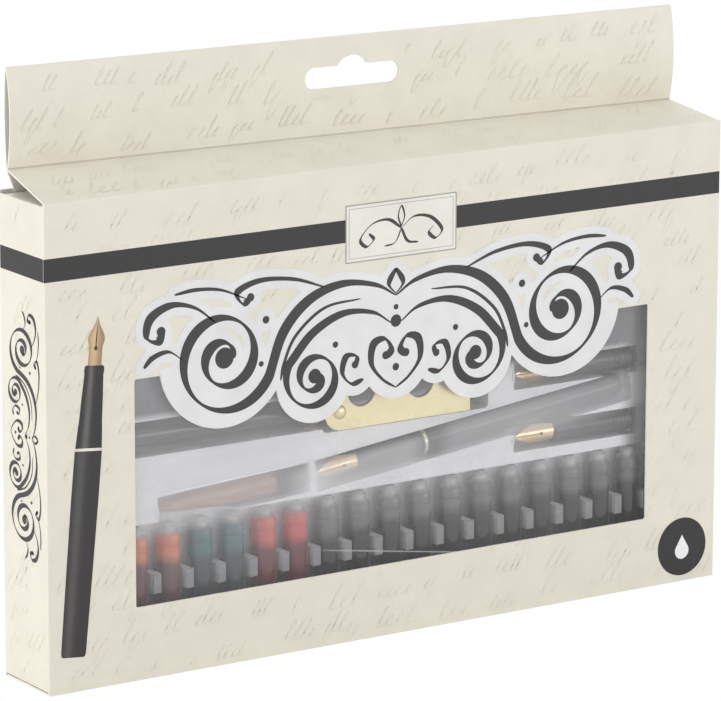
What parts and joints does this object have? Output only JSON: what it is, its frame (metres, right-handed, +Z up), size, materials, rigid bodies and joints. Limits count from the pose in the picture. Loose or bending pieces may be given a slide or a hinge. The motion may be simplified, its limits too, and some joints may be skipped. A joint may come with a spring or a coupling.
{
  "type": "calligraphy set box",
  "caption": "Hanging window carton of folded board with a scalloped window, holding fountain pens, spare nibs, a penholder, a brass pen rest and ink cartridges in a formed tray.",
  "frame": {"origin": "middle of the carton's footprint, on the surface that it stands on", "axes": "+Z up, +Y from the front panel with the window to the back panel, +X to the right along the front as a viewer sees it"},
  "size_m": [0.228, 0.0244, 0.1719],
  "materials": {
    "printed_board": "coated carton board printed cream, bare white inside",
    "film": "clear film with a grey haze",
    "tray_plastic": "thin clear grey formed sheet",
    "black_plastic": "polished black",
    "gold_metal": "polished gold plating",
    "wood": "turned and varnished",
    "dark_metal": "satin black",
    "ink_blue": "translucent shell full of ink",
    "ink_orange": "translucent shell full of ink",
    "ink_teal": "translucent shell full of ink",
    "ink_red": "translucent shell full of ink",
    "ink_black": "translucent shell full of ink"
  },
  "bodies": {
    "sleeve": {"front_panel": "printed_board", "back_panel": "printed_board", "left_side_panel": "printed_board", "right_side_panel": "printed_board", "glue_flap": "printed_board", "window_film": "film", "tray": "tray_plastic", "ink_cartridge_01": "ink_blue", "ink_cartridge_02": "ink_blue", "ink_cartridge_03": "ink_orange", "ink_cartridge_04": "ink_orange", "ink_cartridge_05": "ink_teal", "ink_cartridge_06": "ink_teal", "ink_cartridge_07": "ink_red", "ink_cartridge_08": "ink_red", "ink_cartridge_09": "ink_black", "ink_cartridge_10": "ink_black", "ink_cartridge_11": "ink_black", "ink_cartridge_12": "ink_black", "ink_cartridge_13": "ink_black", "ink_cartridge_14": "ink_black", "ink_cartridge_15": "ink_black", "ink_cartridge_16": "ink_black", "ink_cartridge_17": "ink_black", "ink_cartridge_18": "ink_black", "ink_cartridge_19": "ink_black", "ink_cartridge_20": "ink_black", "open_pen_nib": "gold_metal", "open_pen_feed": "black_plastic", "open_pen_grip": "black_plastic", "open_pen_ring": "gold_metal", "open_pen_barrel": "black_plastic", "capped_pen_nib": "gold_metal", "capped_pen_feed": "black_plastic", "capped_pen_grip": "black_plastic", "capped_pen_ring": "gold_metal", "capped_pen_barrel": "black_plastic", "pen_cap": "black_plastic", "pen_cap_band": "gold_metal", "pen_clip": "gold_metal", "spare_nib_low": "gold_metal", "spare_feed_low": "black_plastic", "spare_grip_low": "black_plastic", "spare_nib_high": "gold_metal", "spare_feed_high": "black_plastic", "spare_grip_high": "black_plastic", "penholder_wood": "wood", "penholder_ferrule": "dark_metal", "pen_rest": "gold_metal", "pen_rest_rivet": "gold_metal"},
    "lid": {"lid_panel": "printed_board", "header_front_ply": "printed_board", "header_back_ply": "printed_board"},
    "lid_tuck": {"lid_tuck_flap": "printed_board"},
    "top_flap_left": {"top_dust_flap_left": "printed_board"},
    "top_flap_right": {"top_dust_flap_right": "printed_board"},
    "bottom": {"bottom_panel": "printed_board"},
    "bottom_tuck": {"bottom_tuck_flap": "printed_board"},
    "bottom_flap_left": {"bottom_dust_flap_left": "printed_board"},
    "bottom_flap_right": {"bottom_dust_flap_right": "printed_board"}
  },
  "joints": [
    {"name": "lid_hinge", "type": "hinge", "parent": "sleeve", "child": "lid", "pos_m": [0, -0.01175, 0.138], "axis": [1, 0, 0], "range_deg": [0, 150]},
    {"name": "lid_tuck_fold", "type": "hinge", "parent": "lid", "child": "lid_tuck", "pos_m": [0, 0.0109, 0.14175], "axis": [-0.9999, 0, 0.012], "range_deg": [0, 72]},
    {"name": "top_flap_left_fold", "type": "hinge", "parent": "sleeve", "child": "top_flap_left", "pos_m": [-0.1135, 0, 0.1372], "axis": [0, -1, 0], "range_deg": [0, 45]},
    {"name": "top_flap_right_fold", "type": "hinge", "parent": "sleeve", "child": "top_flap_right", "pos_m": [0.1135, 0, 0.1372], "axis": [0, 1, 0], "range_deg": [0, 45]},
    {"name": "bottom_hinge", "type": "hinge", "parent": "sleeve", "child": "bottom", "pos_m": [0, 0.01175, 0], "axis": [1, 0, 0], "range_deg": [0, 110]},
    {"name": "bottom_tuck_fold", "type": "hinge", "parent": "bottom", "child": "bottom_tuck", "pos_m": [0, -0.0109, 0.0005], "axis": [-1, 0, 0], "range_deg": [0, 79.2]},
    {"name": "bottom_flap_left_fold", "type": "hinge", "parent": "sleeve", "child": "bottom_flap_left", "pos_m": [-0.1135, 0, 0.0008], "axis": [0, 1, 0], "range_deg": [0, 33]},
    {"name": "bottom_flap_right_fold", "type": "hinge", "parent": "sleeve", "child": "bottom_flap_right", "pos_m": [0.1135, 0, 0.0008], "axis": [0, -1, 0], "range_deg": [0, 33]}
  ],
  "couplings": [
    {"joint": "lid_tuck_fold", "follows": "lid_hinge", "ratio": 0.48},
    {"joint": "top_flap_left_fold", "follows": "lid_hinge", "ratio": 0.3},
    {"joint": "top_flap_right_fold", "follows": "lid_hinge", "ratio": 0.3},
    {"joint": "bottom_tuck_fold", "follows": "bottom_hinge", "ratio": 0.72},
    {"joint": "bottom_flap_left_fold", "follows": "bottom_hinge", "ratio": 0.3},
    {"joint": "bottom_flap_right_fold", "follows": "bottom_hinge", "ratio": 0.3}
  ]
}
